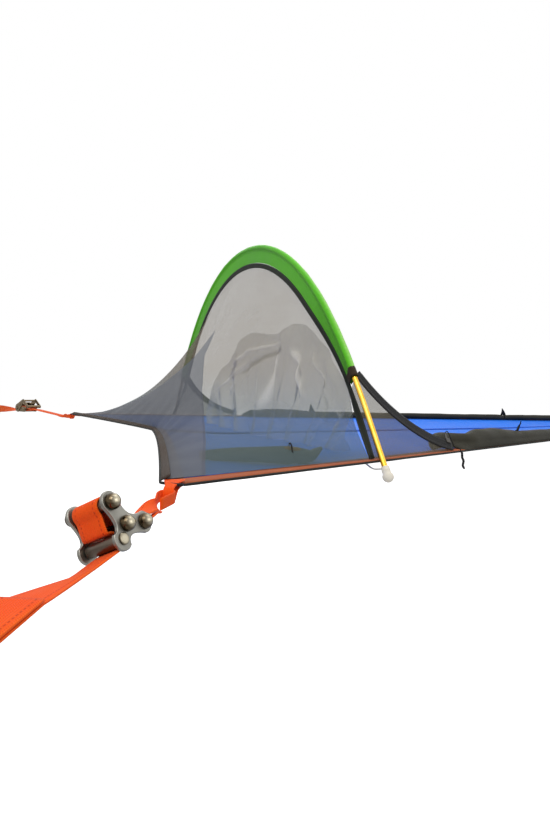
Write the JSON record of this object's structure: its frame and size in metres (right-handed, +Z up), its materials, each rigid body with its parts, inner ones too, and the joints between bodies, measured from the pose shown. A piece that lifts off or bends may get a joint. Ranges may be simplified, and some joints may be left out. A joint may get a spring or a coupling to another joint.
{
  "type": "tree tent",
  "caption": "Three-cornered hammock tent with an arched pole, a netting hood at the wide end and a ratchet and a webbing lock on its orange tree straps.",
  "frame": {"origin": "centre of the eye at the outer end of the foot strap, on the tent's centre line", "axes": "+X from the head edge to the foot corner and along the foot strap, +Z up, out of the floor's upper face, so the near side with the webbing lock is at -Y"},
  "size_m": [3.4422, 2.3382, 0.5121],
  "materials": {
    "floor_fabric": "coated woven nylon",
    "edge_webbing": "woven webbing",
    "dark_binding": "woven tape",
    "netting": "fine insect netting",
    "sleeve_fabric": "coated woven nylon",
    "gold_pole": "gold anodised tube",
    "ferrule_aluminium": "plain tube",
    "shock_cord": "braided elastic cord",
    "white_plastic": "moulded",
    "dark_zip_metal": "cast and painted",
    "black_cord": "braided cord",
    "flap_fabric": "coated woven nylon",
    "orange_webbing": "woven webbing",
    "polished_steel": "polished",
    "bronze_steel": "yellow passivated steel"
  },
  "bodies": {
    "tent": {"floor_panel": "floor_fabric", "near_edge_webbing": "edge_webbing", "far_edge_webbing": "edge_webbing", "head_edge_webbing": "edge_webbing", "near_edge_hem": "dark_binding", "far_edge_hem": "dark_binding", "head_edge_hem": "dark_binding", "hood_mesh_near": "netting", "hood_mesh_far": "netting", "cheek_mesh_near": "netting", "cheek_mesh_far": "netting", "door_mesh": "netting", "arch_sleeve": "sleeve_fabric", "arch_binding": "dark_binding", "pole_section_1": "gold_pole", "pole_section_2": "gold_pole", "pole_section_3": "gold_pole", "pole_ferrule_1": "ferrule_aluminium", "pole_ferrule_2": "ferrule_aluminium", "pole_shock_cord": "shock_cord", "pole_foot_near": "white_plastic", "pole_foot_far": "white_plastic", "foot_tie_near": "shock_cord", "foot_tie_far": "shock_cord", "door_binding_near": "dark_binding", "door_binding_far": "dark_binding", "near_roll_head": "flap_fabric", "near_roll_foot": "flap_fabric", "far_roll_foot": "flap_fabric", "roll_tie_1": "black_cord", "roll_tie_2": "black_cord", "roll_tie_3": "black_cord", "roll_tie_4": "black_cord", "corner_loop_near": "dark_binding", "corner_loop_far": "dark_binding", "corner_loop_foot": "dark_binding", "near_short_strap": "orange_webbing", "far_short_strap": "orange_webbing", "near_tree_strap": "orange_webbing", "far_tree_strap": "orange_webbing", "foot_strap": "orange_webbing", "lock_plate_inner": "polished_steel", "lock_plate_outer": "polished_steel", "lock_bolt_middle": "polished_steel", "lock_bolt_top": "polished_steel", "lock_bolt_tree": "polished_steel", "lock_bolt_tent": "polished_steel", "ratchet_frame": "bronze_steel", "ratchet_bolt": "bronze_steel"},
    "lock_top_roller": {"lock_roller_top": "bronze_steel"},
    "lock_tree_roller": {"lock_roller_tree": "bronze_steel"},
    "spool": {"ratchet_spool": "bronze_steel", "wound_webbing": "orange_webbing"},
    "handle": {"ratchet_handle": "bronze_steel"},
    "handle_pawl": {"handle_pawl": "bronze_steel"},
    "frame_pawl": {"frame_pawl": "bronze_steel"},
    "near_slider": {"zip_slider_near": "dark_zip_metal", "zip_pull_cord": "black_cord"},
    "far_slider": {"zip_slider_far": "dark_zip_metal"}
  },
  "joints": [
    {"name": "lock_top_roller_turn", "type": "hinge", "parent": "tent", "child": "lock_top_roller", "pos_m": [-3.21842, -0.85327, 0.01872], "axis": [0.6048, -0.667, 0.4352], "continuous": true},
    {"name": "lock_tree_roller_turn", "type": "hinge", "parent": "tent", "child": "lock_tree_roller", "pos_m": [-3.21101, -0.86311, -0.00666], "axis": [0.6048, -0.667, 0.4352], "continuous": true},
    {"name": "spool_turn", "type": "hinge", "parent": "tent", "child": "spool", "pos_m": [-3.2776, 1.01096, 0.006], "axis": [-0.8934, -0.4492, 0], "continuous": true},
    {"name": "handle_turn", "type": "hinge", "parent": "tent", "child": "handle", "pos_m": [-3.2776, 1.01096, 0.006], "axis": [-0.8934, -0.4492, 0], "range_deg": [0, 150]},
    {"name": "handle_pawl_slide", "type": "slide", "parent": "handle", "child": "handle_pawl", "axis": [0.3809, -0.7576, 0.53], "range_m": [0, 0.003], "stiffness_N_per_m": 150},
    {"name": "frame_pawl_slide", "type": "slide", "parent": "tent", "child": "frame_pawl", "axis": [0.4486, -0.8923, -0.0506], "range_m": [-0.002, 0.003], "stiffness_N_per_m": 150},
    {"name": "near_slider_run", "type": "hinge", "parent": "tent", "child": "near_slider", "pos_m": [-2.50879, -0.40327, 0.25193], "axis": [-0.2032, 0.8464, -0.4923], "range_deg": [0, 40], "deforming": ["zip_pull_cord"]},
    {"name": "far_slider_run", "type": "hinge", "parent": "tent", "child": "far_slider", "pos_m": [-2.50879, 0.40327, 0.25193], "axis": [0.2032, 0.8464, 0.4923], "range_deg": [0, 40]}
  ]
}
